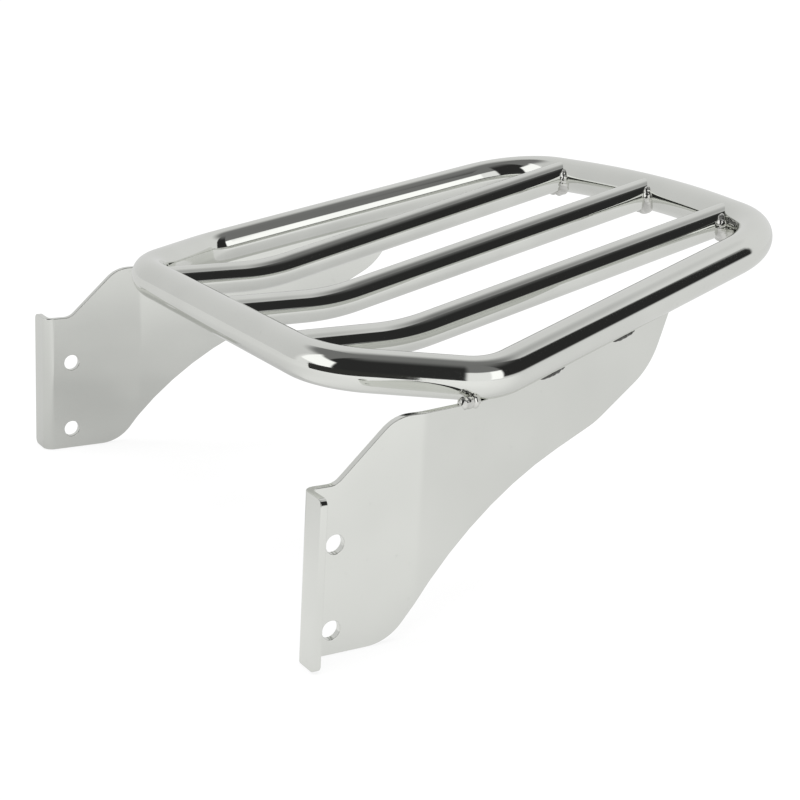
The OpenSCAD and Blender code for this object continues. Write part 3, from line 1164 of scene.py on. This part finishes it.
@dataclass
class Studio:
    """A pale floor, a pale surround with dark cards and two soft windows, and one soft lamp.

    Attributes:
        wall, ceiling: brightness of the surround at the horizon and overhead.
        floor_mirrored: brightness of the floor as the chrome shows it.
        floor_swing, wall_swing: how much brighter the floor and the wall are at one azimuth, named _at.
        floor_step: how much brighter the left side's floor is before the azimuths floor_step_at, and
        darker after them. floor_swing and floor_step are painted light and shade in the floor's glow.
        under_shade: painted shadow of the rack: how much darker the floor is under it, fading out
        over the distances under_reach.
        under_least: least distance from mid-width that the lit side is worked out for.
        shadow_part: share of the floor's own shading that is kept for the camera and the chrome.
        panels: windows and dark cards over the surround, each laid over the ones before it.
    """

    placing: Placing
    wall: float = 0.72
    ceiling: float = 0.2
    ceiling_from: tuple[float, float] = (50.0, 78.0)
    floor_size: float = 40.0
    floor_drop: float = 0.4 * MM
    floor_colour: Colour = (0.8, 0.8, 0.795, 1)
    floor_mirrored: float = 0.72
    floor_swing: float = 0.13
    floor_swing_at: float = -35.0
    floor_step: float = 0.055
    floor_step_at: tuple[float, float] = (24.0, 48.0)
    under_shade: float = 0.12
    under_reach: tuple[float, float] = (0.1, 0.42)
    under_least: float = 1 * MM
    wall_swing: float = 0.06
    wall_swing_at: float = 80.0
    shadow_part: float = 0.12
    lamp_strength: float = 4.6
    lamp_angle: float = 50.0
    card_from: tuple[float, float] = (0.11, 0.02)
    card_azimuth: float = -70.0
    card_distance: float = 0.34
    card_width: float = 0.5
    card_height: float = 0.16
    card_colour: Colour = (0.035, 0.035, 0.033, 1)
    panels: tuple[Panel, ...] = (
        Panel(level=0.19, sides=(-178, -108), low=50, high=120, low_soft=6),
        Panel(level=0.19, sides=(-112, 63), low=40, high=120, low_soft=4),
        Panel(level=0.028, sides=(-92, -32), low=-30, high=73, side_soft=3, high_soft=15),
        Panel(level=0.04, sides=(-106, -32), low=-30, high=6),
        Panel(level=0.026, sides=(14, 61), low=8, high=68, side_soft=2.5, low_soft=4, high_soft=16),
        Panel(level=0.92, sides=(-32, -1), low=-30, high=42),
        Panel(level=1.25, sides=(-2, 14), low=3, high=42),
        Panel(level=0.85, sides=(-122, -104), low=-30, high=40, side_soft=4),
        Panel(level=1.2, sides=(-118, -79), low=10, high=44, lean=0.45),
    )

    def floor(self) -> None:
        """Makes the floor: white to the camera apart from a part of its shading, pale in the chrome."""
        made, sheet = blank_material("floor_paper")
        rays = sheet.node("ShaderNodeLightPath")
        seen, mirrored = sheet.wire(rays, "Is Camera Ray"), sheet.wire(rays, "Is Glossy Ray")
        paper = sheet.node("ShaderNodeBsdfDiffuse", None, {"Color": self.floor_colour})
        # The floor's glow in the chrome holds painted light and shade.
        level = seen + (1.0 - seen) * self.painted_floor_light(sheet)
        glow = sheet.node("ShaderNodeEmission", None, {"Color": sheet.grey(level), "Strength": 1.0})
        share = sheet.maths("MAXIMUM", seen, mirrored) * (1.0 - self.shadow_part)
        surface = sheet.node("ShaderNodeMixShader", None, {0: share, 1: paper, 2: glow})
        sheet.node("ShaderNodeOutputMaterial", None, {"Surface": surface})
        h, z = self.floor_size / 2, self.placing.origin.z - self.floor_drop
        corners = [Vector((-h, -h, z)), Vector((h, -h, z)), Vector((h, h, z)), Vector((-h, h, z))]
        floor = flat_board("floor", corners, made)

    def painted_floor_light(self, sheet: NodeSheet) -> Wire:
        """Works out the floor's painted light and shade in the chrome: less behind the rack and under it.

        Args:
            sheet: the floor's nodes.

        Returns:
            The brightness.
        """
        x, y, _z = sheet.axes(sheet.coordinates("Object"))
        away = sheet.maths("MAXIMUM", (x * x + y * y) ** 0.5, self.under_least)
        azimuth = sheet.azimuth(x, y)
        # Painted light: the floor's glow is brighter on the lit side.
        lit_side = sheet.maths("MAXIMUM", x, 0.0) / away * self.floor_step
        step = lit_side * (1.0 - azimuth.step(*self.floor_step_at) * 2.0)
        # Painted shadow of the rack in the floor's glow, darkest under it.
        shade = (1.0 - away.step(*self.under_reach)) * self.under_shade
        swing = azimuth.swing(self.floor_swing_at, self.floor_swing)
        return (swing + step + self.floor_mirrored) * (1.0 - shade)

    def card(self) -> None:
        """Stands a dark card on the floor before the front left corner, which shows in the chrome alone."""
        made, sheet = blank_material("card_black")
        glow = sheet.node("ShaderNodeEmission", None, {"Color": self.card_colour, "Strength": 1.0})
        sheet.node("ShaderNodeOutputMaterial", None, {"Surface": glow})
        a = math.radians(self.card_azimuth)
        way = Vector((math.cos(a), math.sin(a), 0))
        across = way.cross(Vector((0, 0, 1))) * (self.card_width / 2)
        foot = Vector((*self.card_from, self.placing.origin.z)) + way * self.card_distance
        top = foot + Vector((0, 0, self.card_height))
        card = flat_board("dark_card", [foot - across, foot + across, top + across, top - across], made)
        card.visible_camera = card.visible_diffuse = card.visible_shadow = False

    def surround(self) -> None:
        """Makes the world: white to the camera, and the walls, ceiling and panels to everything else."""
        world = bpy.data.worlds.new("studio")
        world.use_nodes = True
        bpy.context.scene.world = world
        sheet = NodeSheet(world.node_tree)
        x, y, z = sheet.axes(sheet.coordinates("Generated"))
        azimuth = sheet.azimuth(x, y)
        elevation = sheet.maths("ARCSINE", z) * DEGREES
        wall = azimuth.swing(self.wall_swing_at, self.wall_swing) + self.wall
        level = wall + elevation.step(*self.ceiling_from) * (self.ceiling - wall)
        for panel in self.panels:
            level = panel.over(level, azimuth, elevation)
        seen = sheet.wire(sheet.node("ShaderNodeLightPath"), "Is Camera Ray")
        shown = sheet.grey(level + (1.0 - level) * seen)
        sky = sheet.node("ShaderNodeBackground", None, {"Color": shown, "Strength": 1.0})
        sheet.node("ShaderNodeOutputWorld", None, {"Surface": sky})

    def lamp(self) -> None:
        """Makes the soft overhead light that gives the rack its faint shadow on the floor."""
        data = bpy.data.lights.new("overhead", "SUN")
        data.energy = self.lamp_strength
        data.angle = math.radians(self.lamp_angle)
        lamp = bpy.data.objects.new("overhead", data)
        lamp.visible_glossy = False
        bpy.context.scene.collection.objects.link(lamp)

    def build(self) -> None:
        """Makes the floor, the card, the surround and the lamp."""
        self.floor()
        self.card()
        self.surround()
        self.lamp()
        bpy.context.scene.view_settings.view_transform = "Standard"


def main() -> None:
    """Builds the rack's looks piece by piece, then the studio and the camera."""
    logging.basicConfig(level=logging.INFO, format="%(name)s: %(message)s")
    plan = RackPlan()
    placing = Placing()
    ViewPoint().build(placing)
    TubeWork(plan, placing).build()
    SidePlates(plan, placing).build()
    WeldWork(plan, placing).build()
    Studio(placing).build()


if __name__ == "__main__":
    main()
